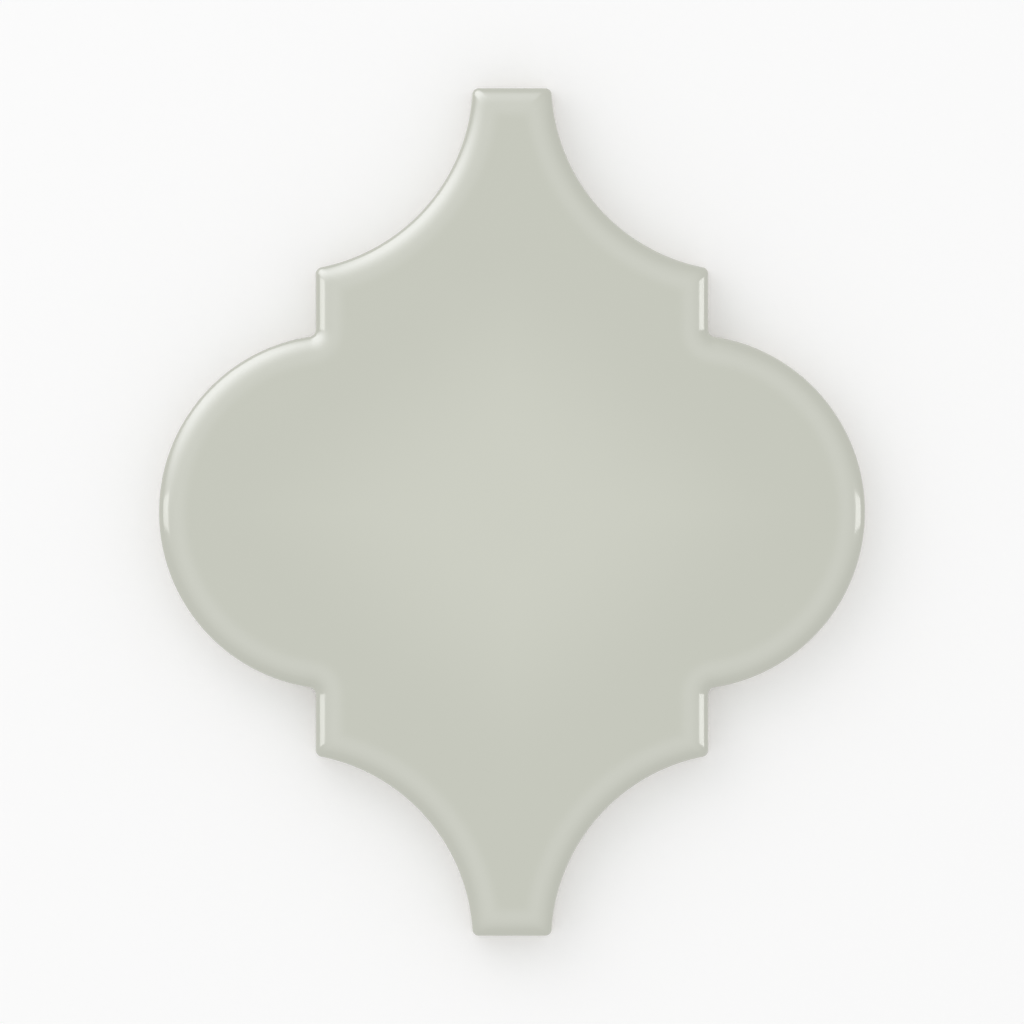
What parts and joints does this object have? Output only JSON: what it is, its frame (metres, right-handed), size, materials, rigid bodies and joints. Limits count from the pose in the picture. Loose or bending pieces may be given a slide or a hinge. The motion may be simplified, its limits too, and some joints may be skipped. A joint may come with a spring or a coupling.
{
  "type": "arabesque tile",
  "caption": "Lantern-shaped glazed wall tile with round side lobes, hollow flanks and narrow ends that nests with its own kind; cushioned face edge, ribbed back for adhesive.",
  "frame": {"origin": "middle of the back, on the plane that the tile lies on", "axes": "+X across the two lobes, +Y from one narrow end to the other, +Z out of the glazed face"},
  "size_m": [0.0774, 0.093, 0.0065],
  "materials": {
    "sage_glaze": "glossy"
  },
  "bodies": {
    "root": {"arabesque_tile": "sage_glaze"}
  },
  "joints": []
}
